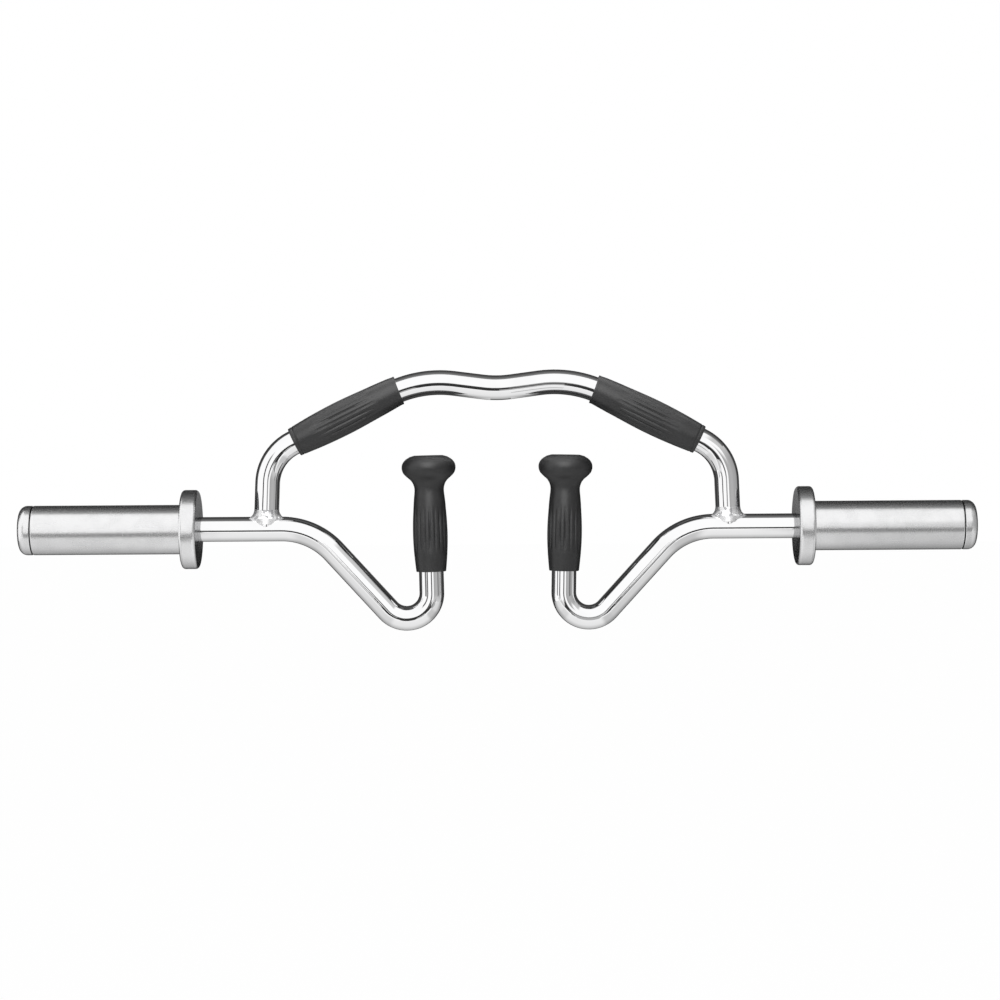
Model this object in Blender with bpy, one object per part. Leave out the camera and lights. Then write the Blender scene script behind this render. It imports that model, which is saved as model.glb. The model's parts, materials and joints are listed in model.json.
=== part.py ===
"""Triceps bar: two upright hand grips and a cambered curl bar between a pair of turning plate sleeves."""
import math
from collections import namedtuple

import bmesh
import bpy
from mathutils import Matrix, Quaternion, Vector

# Sizes are metres. X runs along the sleeves, Z points up to the cambered bar, Y is the depth.
# The origin is midway between the two hand grips, on the line that both sleeves turn about.
GAP = 0.0003
EDGE_BREAK = 0.0004
MERGE_DISTANCE = 1e-6
SHARP_ANGLE = math.radians(35)

# Round bar that both handle bars and the cambered bar are bent from
BAR_RADIUS = 0.0125
BAR_SIDES = 24
BEND_STEP_ANGLE = math.radians(10)
BEND_STEP_LENGTH = 0.009

# Handle bar: shaft, diagonal and upright stem
SHAFT_BEND_X = 0.1868
SHAFT_BEND_RADIUS = 0.0715
DIAGONAL_ANGLE = math.radians(47.6)
BOTTOM_BEND_RADIUS = 0.0254
STEM_X = 0.06805
STEM_LEAN = math.radians(1.1)
STEM_TOP_Z = 0.058
STEM_CHAMFER = 0.0015

# Cambered bar: riser, sloped grip stretch, hump and dip
RISER_FOOT_X = 0.234
RISER_CORNER = Vector((0.231, 0, 0.0746))
RISER_BEND_RADIUS = 0.047
GRIP_SLOPE = math.radians(26.3)
HUMP_CORNER_X = 0.0774
HUMP_RADIUS = 0.114
DIP_CORNER_Z = 0.1405
DIP_RADIUS = 0.112

# Weld round each riser's foot
WELD_REACH = 0.020
WELD_TOP_Z = 0.0198
WELD_LOW_Z = 0.002
WELD_FACE_RADIUS = 0.0146
WELD_FLARE_SHARES = (0, 0.3, 0.6, 0.85, 1)
WELD_TUCK = 0.9
WELD_SIDES = 28

# Rubber grips
GRIP_END_RADIUS = 0.0151
GRIP_BELLY_RADIUS = 0.0176
CURL_GRIP_LENGTH = 0.118
CURL_GRIP_START = 0.0015
CURL_GRIP_BELLY = 0.054
CURL_GRIP_STEPS = 10
CURL_BORE_STEPS = 12
HAND_GRIP_LOW_Z = -0.044
HAND_GRIP_BELLY_Z = -0.006
HAND_GRIP_NECK_Z = 0.0395
HAND_GRIP_NECK_RADIUS = 0.0149
KNOB_WIDEST_Z = 0.061
KNOB_TOP_Z = 0.0735
KNOB_RADIUS = 0.0273
KNOB_FLAT_RADIUS = 0.014
BELLY_STEPS = 4
KNOB_STEPS = 6

# Plate sleeve, measured outwards from the collar's inner face
COLLAR_FACE_X = 0.3019
COLLAR_THICKNESS = 0.0168
COLLAR_RADIUS = 0.040
COLLAR_EDGE = 0.0022
COLLAR_WEB = 0.006
SLEEVE_RADIUS = 0.025
SLEEVE_BORE_RADIUS = 0.020
SLEEVE_SIDES = 32
CAP_SEAM = 0.1676
SLEEVE_END = 0.1821
CAP_EDGE_RADIUS = 0.008
CAP_DOME = 0.0008
CAP_SPIGOT_END = 0.1571
CAP_SPIGOT_BORE = 0.015
CAP_EDGE_STEPS = 5

# Bearing inside the sleeve, measured from the same face
JOURNAL_RADIUS = 0.011
SHOULDER = 0.0085
JOURNAL_END = 0.1433
THRUST_WASHER_THICKNESS = 0.002
THRUST_WASHER_RADIUS = 0.0165
BUSHING_LENGTH = 0.030
OUTER_BUSHING_START = 0.113
BEARING_SIDES = 24
RETAINING_WASHER_THICKNESS = 0.004
RETAINING_WASHER_RADIUS = 0.017
LOCK_WASHER_THICKNESS = 0.0024
LOCK_WASHER_RADIUS = 0.009
LOCK_WASHER_SLOT = 0.0016
BOLT_RADIUS = 0.0049
BOLT_LENGTH = 0.022
BOLT_HEAD_FLATS = 0.017
BOLT_HEAD_HEIGHT = 0.0064
BOLT_SIDES = 16
TAPPED_DEPTH = 0.026


def material(name, colour, roughness, metallic):
    made = bpy.data.materials.new(name)
    made.use_nodes = True
    shader = made.node_tree.nodes["Principled BSDF"]
    shader.inputs["Base Color"].default_value = (*colour, 1)
    shader.inputs["Roughness"].default_value = roughness
    shader.inputs["Metallic"].default_value = metallic
    made.diffuse_color = (*colour, 1)
    return made


def make_materials():
    return {
        "polished_chrome": material("polished_chrome", (0.80, 0.80, 0.81), 0.06, 1.0),
        "weld_chrome": material("weld_chrome", (0.74, 0.74, 0.75), 0.25, 1.0),
        "satin_chrome": material("satin_chrome", (0.62, 0.62, 0.63), 0.32, 1.0),
        "grip_rubber": material("grip_rubber", (0.040, 0.040, 0.042), 0.55, 0.0),
        "bronze": material("bronze", (0.60, 0.42, 0.18), 0.35, 1.0),
        "zinc_steel": material("zinc_steel", (0.55, 0.55, 0.53), 0.40, 1.0),
    }


def mesh_from(shape, name):
    """Weld, face outwards and shade a bmesh, and turn it into a mesh."""
    bmesh.ops.remove_doubles(shape, verts=shape.verts, dist=MERGE_DISTANCE)
    bmesh.ops.recalc_face_normals(shape, faces=shape.faces)
    mesh = bpy.data.meshes.new(name)
    shape.to_mesh(mesh)
    shape.free()
    mesh.shade_smooth()
    mesh.set_sharp_from_angle(angle=SHARP_ANGLE)
    return mesh


def place(name, mesh, finish, parent=None):
    """A named sub-part; parts of one shape share its mesh."""
    if not mesh.materials:
        mesh.materials.append(finish)
    part = bpy.data.objects.new(name, mesh)
    bpy.context.collection.objects.link(part)
    part.parent = parent
    return part


def axis_empty(name, location, turn):
    """An empty on a joint's axis; the left side is the right side turned half round."""
    empty = bpy.data.objects.new(name, None)
    bpy.context.collection.objects.link(empty)
    empty.location = location
    empty.rotation_euler = (0, 0, turn)
    return empty


def cutter(name, mesh, parent=None):
    tool = bpy.data.objects.new(name, mesh)
    bpy.context.collection.objects.link(tool)
    tool.parent = parent
    tool.hide_render = True
    tool.display_type = "WIRE"
    return tool


def add_boolean(part, operation, tool):
    step = part.modifiers.new(tool.name, "BOOLEAN")
    step.operation = operation
    step.solver = "EXACT"
    step.object = tool


def clear_radius(radius, sides):
    """Corner radius of a many-sided hole whose flats clear a round piece by the gap."""
    return (radius + GAP) / math.cos(math.pi / sides)


def turned(name, outline, sides, closed=True):
    """An outline of (along, radius) points spun about X. An open one starts and ends on the axis."""
    shape = bmesh.new()
    corners = [shape.verts.new((along, 0, radius)) for along, radius in outline]
    following = corners[1:] + corners[:1] if closed else corners[1:]
    edges = [shape.edges.new(pair) for pair in zip(corners, following)]
    bmesh.ops.spin(
        shape, geom=corners + edges, cent=(0, 0, 0), axis=(1, 0, 0),
        angle=math.tau, steps=sides, use_merge=True,
    )
    return mesh_from(shape, name)


def shares(count):
    """Even fractions from 0 to 1."""
    return [step / count for step in range(count + 1)]


def ring_outline(start, end, outer, bore):
    """A washer or bush with its outer edges broken."""
    return [
        (start, bore),
        (start, outer - EDGE_BREAK),
        (start + EDGE_BREAK, outer),
        (end - EDGE_BREAK, outer),
        (end, outer - EDGE_BREAK),
        (end, bore),
    ]


def rod(name, start, end, radius, sides):
    """A plain rod between two points, for cutters and the bolt's shank."""
    way = end - start
    shape = bmesh.new()
    # The corners line up with those of a bar's rings, which start on the Y axis
    upright = Quaternion((0, 1, 0), math.atan2(way.x, way.z)).to_matrix().to_4x4()
    seat = Matrix.Translation((start + end) / 2) @ upright
    bmesh.ops.create_cone(
        shape, cap_ends=True, segments=sides, radius1=radius, radius2=radius,
        depth=way.length, matrix=seat,
    )
    return mesh_from(shape, name)


Run = namedtuple("Run", "begin length point travel centre pivot_axis")


class Centreline:
    """Straight stretches in the X-Z plane, joined by arcs at their corners."""

    def __init__(self, corners, radii=()):
        self.runs = []
        self.length = 0
        point = corners[0]
        for before, corner, after, radius in zip(corners, corners[1:], corners[2:], radii):
            travel = (corner - before).normalized()
            onward = (after - corner).normalized()
            turn = travel.angle(onward)
            bend_start = corner - travel * radius * math.tan(turn / 2)
            self.add_run(point, travel, (bend_start - point).length)
            pivot_axis = travel.cross(onward).normalized()
            centre = bend_start + pivot_axis.cross(travel) * radius
            self.add_run(bend_start, travel, radius * turn, centre, pivot_axis)
            point = corner + onward * radius * math.tan(turn / 2)
        rest = corners[-1] - point
        self.add_run(point, rest.normalized(), rest.length)

    def add_run(self, point, travel, length, centre=None, pivot_axis=None):
        self.runs.append(Run(self.length, length, point, travel, centre, pivot_axis))
        self.length += length

    def at(self, distance):
        """Point and direction at a distance along the line."""
        run = [run for run in self.runs if run.begin <= distance][-1]
        past = distance - run.begin
        if run.centre is None:
            return run.point + run.travel * past, run.travel
        reach = run.point - run.centre
        swing = Quaternion(run.pivot_axis, past / reach.length)
        return run.centre + swing @ reach, swing @ run.travel

    def steps(self):
        """Distances that show every bend as a fair curve."""
        marks = [0]
        for run in self.runs:
            count = 1
            if run.centre is not None:
                turn = run.length / (run.point - run.centre).length
                count = math.ceil(max(turn / BEND_STEP_ANGLE, run.length / BEND_STEP_LENGTH))
            marks += [run.begin + run.length * share for share in shares(count)[1:]]
        return marks

    def bend_end(self, number):
        """Distance at which a bend, counted from 0, runs out."""
        return self.runs[2 * number + 2].begin


def swept(name, line, profile, closed=False):
    """Round rings of (distance, radius) along a centreline, skinned, and capped unless they close."""
    shape = bmesh.new()
    rings = []
    depth = Vector((0, 1, 0))
    angles = [math.tau * step / BAR_SIDES for step in range(BAR_SIDES)]
    for distance, radius in profile:
        point, travel = line.at(distance)
        side = depth.cross(travel)
        rings.append([
            shape.verts.new(point + radius * (math.cos(angle) * depth + math.sin(angle) * side))
            for angle in angles
        ])
    pairs = list(zip(rings, rings[1:]))
    if closed:
        pairs.append((rings[-1], rings[0]))
    for near, far in pairs:
        for step in range(BAR_SIDES):
            ahead = (step + 1) % BAR_SIDES
            shape.faces.new((near[step], near[ahead], far[ahead], far[step]))
    if not closed:
        shape.faces.new(rings[0])
        shape.faces.new(rings[-1])
    return mesh_from(shape, name)


def stem_point(height):
    return Vector((STEM_X + math.tan(STEM_LEAN) * height, 0, height))


def handle_centreline():
    """From the journal's outer end, inwards along the shaft, down the diagonal and up the stem."""
    shaft_corner = Vector((SHAFT_BEND_X, 0, 0))
    down = Vector((-math.cos(DIAGONAL_ANGLE), 0, -math.sin(DIAGONAL_ANGLE)))
    lean = math.tan(STEM_LEAN)
    reach = (STEM_X - SHAFT_BEND_X) / (down.x - lean * down.z)
    corners = [
        Vector((COLLAR_FACE_X + JOURNAL_END, 0, 0)),
        shaft_corner,
        shaft_corner + down * reach,
        stem_point(STEM_TOP_Z),
    ]
    return Centreline(corners, [SHAFT_BEND_RADIUS, BOTTOM_BEND_RADIUS])


def cambered_centreline():
    """From the right riser's foot over the humps to the left one's."""
    run = RISER_CORNER.x - HUMP_CORNER_X
    hump = Vector((HUMP_CORNER_X, 0, RISER_CORNER.z + math.tan(GRIP_SLOPE) * run))
    right = [Vector((RISER_FOOT_X, 0, 0)), RISER_CORNER, hump]
    left = [Vector((-corner.x, 0, corner.z)) for corner in reversed(right)]
    radii = [RISER_BEND_RADIUS, HUMP_RADIUS, DIP_RADIUS, HUMP_RADIUS, RISER_BEND_RADIUS]
    return Centreline(right + [Vector((0, 0, DIP_CORNER_Z))] + left, radii)


def handle_bar_mesh(line):
    """Bent bar with a turned-down journal, a shoulder and a tapped hole in its end."""
    hole_radius = clear_radius(BOLT_RADIUS, BAR_SIDES)
    shoulder = JOURNAL_END - SHOULDER
    profile = [
        (TAPPED_DEPTH, hole_radius),
        (0, hole_radius),
        (0, JOURNAL_RADIUS - EDGE_BREAK),
        (EDGE_BREAK, JOURNAL_RADIUS),
        (shoulder, JOURNAL_RADIUS),
        (shoulder, BAR_RADIUS),
    ]
    profile += [(mark, BAR_RADIUS) for mark in line.steps()[1:-1]]
    profile += [(line.length - STEM_CHAMFER, BAR_RADIUS), (line.length, BAR_RADIUS - STEM_CHAMFER)]
    return swept("handle_bar", line, profile)


def belly(distance, middle, reach, end_radius):
    """Grip radius, falling away from the belly to the end radius as a parabola."""
    share = (distance - middle) / reach
    return GRIP_BELLY_RADIUS - (GRIP_BELLY_RADIUS - end_radius) * share * share


def curl_grip_mesh(line):
    """Swollen rubber tube over the sloped stretch of the cambered bar."""
    begin = line.bend_end(0) + CURL_GRIP_START
    outside = []
    for share in shares(CURL_GRIP_STEPS):
        along = CURL_GRIP_LENGTH * share
        reach = CURL_GRIP_BELLY if along < CURL_GRIP_BELLY else CURL_GRIP_LENGTH - CURL_GRIP_BELLY
        outside.append((begin + along, belly(along, CURL_GRIP_BELLY, reach, GRIP_END_RADIUS)))
    # The bore is straight but for its upper end, where the bar starts to bend over the hump
    stops = shares(CURL_BORE_STEPS)
    inside = [(begin + CURL_GRIP_LENGTH * share, BAR_RADIUS + GAP) for share in stops[-1:-4:-1] + stops[:1]]
    return swept("curl_grip", line, outside + inside, closed=True)


def hand_grip_mesh():
    """Rubber grip with a swollen belly, a neck and a flat-topped mushroom knob."""
    line = Centreline([stem_point(HAND_GRIP_LOW_Z), stem_point(KNOB_TOP_Z)])
    bore = BAR_RADIUS + GAP
    outline = [(STEM_TOP_Z + 2 * GAP, bore), (HAND_GRIP_LOW_Z, bore)]
    low_reach = HAND_GRIP_BELLY_Z - HAND_GRIP_LOW_Z
    for share in shares(BELLY_STEPS)[:-1]:
        height = HAND_GRIP_LOW_Z + low_reach * share
        outline.append((height, belly(height, HAND_GRIP_BELLY_Z, low_reach, GRIP_END_RADIUS)))
    high_reach = HAND_GRIP_NECK_Z - HAND_GRIP_BELLY_Z
    for share in shares(BELLY_STEPS)[:-1]:
        height = HAND_GRIP_BELLY_Z + high_reach * share
        outline.append((height, belly(height, HAND_GRIP_BELLY_Z, high_reach, HAND_GRIP_NECK_RADIUS)))
    flare = KNOB_RADIUS - HAND_GRIP_NECK_RADIUS
    for share in shares(KNOB_STEPS):
        height = HAND_GRIP_NECK_Z + (KNOB_WIDEST_Z - HAND_GRIP_NECK_Z) * share
        outline.append((height, HAND_GRIP_NECK_RADIUS + flare * (1 - math.cos(math.pi * share)) / 2))
    for share in shares(KNOB_STEPS)[1:]:
        angle = math.pi / 2 * share
        height = KNOB_WIDEST_Z + (KNOB_TOP_Z - KNOB_WIDEST_Z) * math.sin(angle)
        radius = KNOB_FLAT_RADIUS + (KNOB_RADIUS - KNOB_FLAT_RADIUS) * math.cos(angle)
        outline.append((height, radius))
    slant = math.cos(STEM_LEAN)
    profile = [((height - HAND_GRIP_LOW_Z) / slant, radius) for height, radius in outline]
    return swept("hand_grip", line, profile)


def weld_mesh():
    """Blank of the weld: an oval skirt round the riser's foot, flaring down onto the shaft."""
    neck = BAR_RADIUS + 2 * GAP
    flare = WELD_REACH - neck
    levels = []
    for share in WELD_FLARE_SHARES:
        height = WELD_TOP_Z + (BAR_RADIUS - WELD_TOP_Z) * share
        spread = 1 - math.sqrt(1 - share * share)
        levels.append((height, neck + flare * spread, neck + (WELD_FACE_RADIUS - neck) * share))
    levels.append((BAR_RADIUS / 2, WELD_REACH, WELD_FACE_RADIUS))
    levels.append((WELD_LOW_Z, WELD_REACH * WELD_TUCK, BAR_RADIUS + 4 * GAP))
    angles = [math.tau * step / WELD_SIDES for step in range(WELD_SIDES)]
    shape = bmesh.new()
    rings = []
    for height, reach, depth in levels:
        rings.append([
            shape.verts.new((RISER_FOOT_X + reach * math.cos(angle), depth * math.sin(angle), height))
            for angle in angles
        ])
    for upper, lower in zip(rings, rings[1:]):
        for step in range(WELD_SIDES):
            ahead = (step + 1) % WELD_SIDES
            shape.faces.new((upper[step], upper[ahead], lower[ahead], lower[step]))
    shape.faces.new(rings[0])
    shape.faces.new(rings[-1])
    return mesh_from(shape, "weld_bead")


def collar_mesh():
    """Flange that stops the plates, bored for the shaft and recessed for the sleeve tube."""
    shaft_bore = clear_radius(BAR_RADIUS, SLEEVE_SIDES)
    seat = clear_radius(SLEEVE_RADIUS, SLEEVE_SIDES)
    outline = [
        (0, shaft_bore),
        (0, COLLAR_RADIUS - COLLAR_EDGE),
        (COLLAR_EDGE, COLLAR_RADIUS),
        (COLLAR_THICKNESS - COLLAR_EDGE, COLLAR_RADIUS),
        (COLLAR_THICKNESS, COLLAR_RADIUS - COLLAR_EDGE),
        (COLLAR_THICKNESS, seat),
        (COLLAR_WEB, seat),
        (COLLAR_WEB, shaft_bore),
    ]
    return turned("collar_flange", outline, SLEEVE_SIDES)


def sleeve_tube_mesh():
    outline = ring_outline(COLLAR_WEB + GAP, CAP_SEAM - GAP, SLEEVE_RADIUS, SLEEVE_BORE_RADIUS)
    return turned("sleeve_tube", outline, SLEEVE_SIDES)


def end_cap_mesh():
    """Slightly domed cap with a round edge, and a hollow spigot that fits the tube."""
    spigot = SLEEVE_BORE_RADIUS * math.cos(math.pi / SLEEVE_SIDES) - GAP
    edge_start = SLEEVE_END - CAP_DOME - CAP_EDGE_RADIUS
    flat_radius = SLEEVE_RADIUS - CAP_EDGE_RADIUS
    outline = [
        (CAP_SEAM, 0),
        (CAP_SEAM, CAP_SPIGOT_BORE),
        (CAP_SPIGOT_END, CAP_SPIGOT_BORE),
        (CAP_SPIGOT_END, spigot),
        (CAP_SEAM, spigot),
        (CAP_SEAM, SLEEVE_RADIUS - EDGE_BREAK),
        (CAP_SEAM + EDGE_BREAK, SLEEVE_RADIUS),
    ]
    for share in shares(CAP_EDGE_STEPS):
        angle = math.pi / 2 * share
        along = edge_start + CAP_EDGE_RADIUS * math.sin(angle)
        outline.append((along, flat_radius + CAP_EDGE_RADIUS * math.cos(angle)))
    outline += [(SLEEVE_END - CAP_DOME / 4, flat_radius / 2), (SLEEVE_END, 0)]
    return turned("end_cap", outline, SLEEVE_SIDES, closed=False)


def bushing_mesh(name, start):
    """Bronze bush pressed into the tube; the journal turns in it."""
    outer = SLEEVE_BORE_RADIUS * math.cos(math.pi / SLEEVE_SIDES) - GAP
    bore = clear_radius(JOURNAL_RADIUS, BEARING_SIDES)
    return turned(name, ring_outline(start, start + BUSHING_LENGTH, outer, bore), BEARING_SIDES)


def washer_mesh(name, start, thickness, outer, shank_radius):
    bore = clear_radius(shank_radius, BEARING_SIDES)
    return turned(name, ring_outline(start, start + thickness, outer, bore), BEARING_SIDES)


def make_bolt(name, start, finish, parent):
    """Hexagon-headed screw in the journal's tapped hole."""
    corner_radius = BOLT_HEAD_FLATS / 2 / math.cos(math.pi / 6)
    head = rod("retaining_bolt", Vector((start, 0, 0)), Vector((start + BOLT_HEAD_HEIGHT, 0, 0)),
               corner_radius, 6)
    shank = rod("bolt_shank", Vector((JOURNAL_END - BOLT_LENGTH, 0, 0)),
                Vector((start + BOLT_HEAD_HEIGHT / 2, 0, 0)), BOLT_RADIUS, BOLT_SIDES)
    bolt = place(name, head, finish, parent)
    add_boolean(bolt, "UNION", cutter(name + "_shank", shank, parent))


def make_lock_washer(name, start, finish, parent):
    """Spring washer, split on one side."""
    mesh = washer_mesh("lock_washer", start, LOCK_WASHER_THICKNESS, LOCK_WASHER_RADIUS, BOLT_RADIUS)
    washer = place(name, mesh, finish, parent)
    shape = bmesh.new()
    bmesh.ops.create_cube(shape, size=1)
    slot = Matrix.Diagonal((3 * LOCK_WASHER_THICKNESS, LOCK_WASHER_SLOT, LOCK_WASHER_RADIUS, 1))
    middle = Matrix.Translation((start + LOCK_WASHER_THICKNESS / 2, 0, LOCK_WASHER_RADIUS))
    bmesh.ops.transform(shape, matrix=middle @ slot, verts=shape.verts)
    add_boolean(washer, "DIFFERENCE", cutter(name + "_slot", mesh_from(shape, "slot"), parent))


def make_frame_side(side, turn, shared, finishes):
    """Handle bar, weld and grips of one side, and what is bolted to the journal."""
    base = axis_empty(f"{side}_side", (0, 0, 0), turn)
    place(f"{side}_handle_bar", shared["handle_bar"], finishes["polished_chrome"], base)
    place(f"{side}_hand_grip", shared["hand_grip"], finishes["grip_rubber"], base)
    place(f"{side}_curl_grip", shared["curl_grip"], finishes["grip_rubber"], base)
    weld = place(f"{side}_weld_bead", shared["weld_bead"], finishes["weld_chrome"], base)
    add_boolean(weld, "DIFFERENCE", shared["shaft_cutter"])
    add_boolean(weld, "DIFFERENCE", cutter(f"{side}_riser_cutter", shared["riser_rod"], base))


def make_sleeve_side(side, turn, shared, finishes):
    """One sleeve, its bearing and its end screw, placed on the axis that the sleeve turns about."""
    way = -1 if turn else 1
    axis = axis_empty(f"{side}_sleeve_axis", (way * COLLAR_FACE_X, 0, 0), turn)
    for piece, finish in (
        ("sleeve_tube", "satin_chrome"),
        ("collar_flange", "satin_chrome"),
        ("end_cap", "satin_chrome"),
        ("inner_bushing", "bronze"),
        ("outer_bushing", "bronze"),
        ("thrust_washer", "bronze"),
        ("retaining_washer", "zinc_steel"),
    ):
        place(f"{side}_{piece}", shared[piece], finishes[finish], axis)
    washer_end = JOURNAL_END + GAP + RETAINING_WASHER_THICKNESS
    lock_start = washer_end + GAP
    make_lock_washer(f"{side}_lock_washer", lock_start, finishes["zinc_steel"], axis)
    bolt_start = lock_start + LOCK_WASHER_THICKNESS + GAP
    make_bolt(f"{side}_retaining_bolt", bolt_start, finishes["zinc_steel"], axis)


def make_shared(handle_line, cambered_line):
    """Meshes that the left and right sides have in common, and the cutter that copes the feet."""
    cut_radius = BAR_RADIUS + GAP
    half = Vector((RISER_FOOT_X + 2 * WELD_REACH, 0, 0))
    foot = Vector((RISER_FOOT_X, 0, 0))
    up = (RISER_CORNER - foot).normalized()
    thrust_start = SHOULDER + GAP
    bush_start = thrust_start + THRUST_WASHER_THICKNESS + GAP
    return {
        "handle_bar": handle_bar_mesh(handle_line),
        "hand_grip": hand_grip_mesh(),
        "curl_grip": curl_grip_mesh(cambered_line),
        "weld_bead": weld_mesh(),
        "shaft_cutter": cutter("shaft_cutter", rod("shaft_rod", -half, half, cut_radius, BAR_SIDES)),
        "riser_rod": rod("riser_rod", foot, foot + up * 2 * WELD_TOP_Z, cut_radius, BAR_SIDES),
        "sleeve_tube": sleeve_tube_mesh(),
        "collar_flange": collar_mesh(),
        "end_cap": end_cap_mesh(),
        "inner_bushing": bushing_mesh("inner_bushing", bush_start),
        "outer_bushing": bushing_mesh("outer_bushing", OUTER_BUSHING_START),
        "thrust_washer": washer_mesh("thrust_washer", thrust_start, THRUST_WASHER_THICKNESS,
                                     THRUST_WASHER_RADIUS, JOURNAL_RADIUS),
        "retaining_washer": washer_mesh("retaining_washer", JOURNAL_END + GAP,
                                        RETAINING_WASHER_THICKNESS, RETAINING_WASHER_RADIUS,
                                        BOLT_RADIUS),
    }


def make_cambered_bar(line, shaft_cutter, finish):
    """The bar over the top, its two feet coped to sit on the round shafts."""
    mesh = swept("cambered_bar", line, [(mark, BAR_RADIUS) for mark in line.steps()])
    add_boolean(place("cambered_bar", mesh, finish), "DIFFERENCE", shaft_cutter)


def main():
    for old in list(bpy.data.objects):
        bpy.data.objects.remove(old)
    finishes = make_materials()
    cambered_line = cambered_centreline()
    shared = make_shared(handle_centreline(), cambered_line)
    make_cambered_bar(cambered_line, shared["shaft_cutter"], finishes["polished_chrome"])
    for side, turn in (("left", math.pi), ("right", 0)):
        make_frame_side(side, turn, shared, finishes)
        make_sleeve_side(side, turn, shared, finishes)


main()
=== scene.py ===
"""Looks of a triceps bar: chromed bars and plate sleeves, welds, fluted rubber grips and a plain studio."""
import json
import math
from collections import namedtuple

import bmesh
import bpy
from bpy.props import FloatProperty, FloatVectorProperty, IntProperty, PointerProperty
from mathutils import Euler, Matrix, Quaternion, Vector

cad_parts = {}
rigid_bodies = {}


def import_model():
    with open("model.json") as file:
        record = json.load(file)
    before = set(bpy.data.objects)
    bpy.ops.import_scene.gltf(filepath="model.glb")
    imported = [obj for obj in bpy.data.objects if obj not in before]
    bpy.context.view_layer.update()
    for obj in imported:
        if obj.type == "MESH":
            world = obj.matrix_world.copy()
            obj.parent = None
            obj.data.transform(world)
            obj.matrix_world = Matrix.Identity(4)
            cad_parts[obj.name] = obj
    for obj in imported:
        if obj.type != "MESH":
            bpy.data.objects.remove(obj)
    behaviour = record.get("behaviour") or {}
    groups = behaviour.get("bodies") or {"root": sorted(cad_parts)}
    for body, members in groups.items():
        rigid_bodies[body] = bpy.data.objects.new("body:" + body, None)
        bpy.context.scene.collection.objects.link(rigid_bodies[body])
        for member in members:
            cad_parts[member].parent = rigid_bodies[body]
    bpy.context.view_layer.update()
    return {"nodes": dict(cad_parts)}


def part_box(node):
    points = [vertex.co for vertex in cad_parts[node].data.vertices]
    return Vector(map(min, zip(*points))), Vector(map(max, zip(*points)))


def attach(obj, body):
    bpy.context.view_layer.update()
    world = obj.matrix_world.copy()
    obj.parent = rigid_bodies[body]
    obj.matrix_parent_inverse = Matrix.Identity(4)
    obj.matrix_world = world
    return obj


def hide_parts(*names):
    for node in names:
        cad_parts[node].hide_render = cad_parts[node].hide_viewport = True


bl_info = {
    "name": "Triceps Bar",
    "version": (1, 0, 0),
    "blender": (4, 5, 0),
    "location": "3D View > Sidebar > Triceps Bar",
    "description": "Models the bars, welds, grips and plate sleeves of a triceps bar and lights them",
    "category": "Add Mesh",
}

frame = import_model()

# Corners of CAD nodes, told from the frame
BAR_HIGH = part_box("cambered_bar")[1]
COLLAR_LOW, COLLAR_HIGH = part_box("right_collar_flange")
TUBE_LOW, TUBE_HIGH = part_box("right_sleeve_tube")
CAP_LOW, CAP_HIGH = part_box("right_end_cap")
WELD_LOW, WELD_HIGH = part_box("right_weld_bead")

# How fine the meshes are
BAR_SIDES = 72
BEND_STEP = math.radians(2.5)
SMALLEST_TURN = 1e-6
SLEEVE_SIDES = 160
CORNER_STEPS = 7
CAP_STEPS = 21
DOME_STEPS = 8
GRIP_STEP = 0.0018
BORE_STEPS = 24
COLUMNS_PER_FLUTE = 12
WELD_SIDES = 144
FLARE_STEPS = 14
FOOT_STEPS = 7
TOE_STEPS = 4
SUPPORT_GAP = 0.00025
MERGE_DISTANCE = 2e-6
SHARP_ANGLE = math.radians(32)

# Gap between pieces that touch, as in the CAD solids
GAP = 0.0003

# How often each column of a groove is pressed in, from its middle outwards
FLUTE_PRESSES = (10, 8, 4, 1)

# How far the weld bites into both bars, so that no gap shows, and how far its upper edge stands out
WELD_BITE = GAP / 2
WELD_EDGE = GAP / 3
# Height where the weld is longest, as a share of the shaft's radius
WELD_BELLY = 0.9
# Half the width of a ripple's crest, as a share of a ripple, and how much of its height is raised there
RIPPLE_CRESTS = ((0.30, 0.6), (0.14, 0.4))
# Size of the weld's lumps, and their share of the lump height
WELD_LUMPS = ((0.005, 1.0), (0.0018, 0.35))


def millimetres(*points):
    """(place, radius) pairs in metres, from millimetres."""
    return [(place / 1000, radius / 1000) for place, radius in points]


# Outsides of the grips: height on the stem, or distance from the curl grip's outer end, and radius there
HAND_GRIP_OUTLINE = millimetres(
    (-44, 15.1), (-38, 15.7), (-32, 16.25), (-26, 16.8), (-20, 17.2), (-13, 17.5), (-6, 17.6), (1, 17.5),
    (7, 17.3), (13, 16.95), (19, 16.55), (25, 16.1), (31, 15.55), (36, 15), (40, 14.9), (43, 15.5),
    (46, 16.7), (49, 18.95), (52, 22.4), (55, 25.3), (58, 26.8), (61, 27.3), (64, 27), (67, 25.6),
    (70, 22.7), (72.2, 19), (73.5, 14.5),
)
CURL_GRIP_OUTLINE = millimetres(
    (0, 14.9), (2, 15.05), (3.2, 15.15), (3.7, 14.85), (4.2, 14.9), (4.7, 15.25), (6, 15.37), (14, 16),
    (26, 16.85), (38, 17.35), (50, 17.58), (62, 17.5), (74, 17.05), (86, 16.5), (98, 15.95), (110, 15.25),
    (116, 14.8), (118, 14.9),
)


def setting(kind, **limits):
    """A kind of setting, which is called with a name, a description and a default."""
    return lambda name, description, default: kind(
        name=name, description=description, default=default, **limits,
    )


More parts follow.
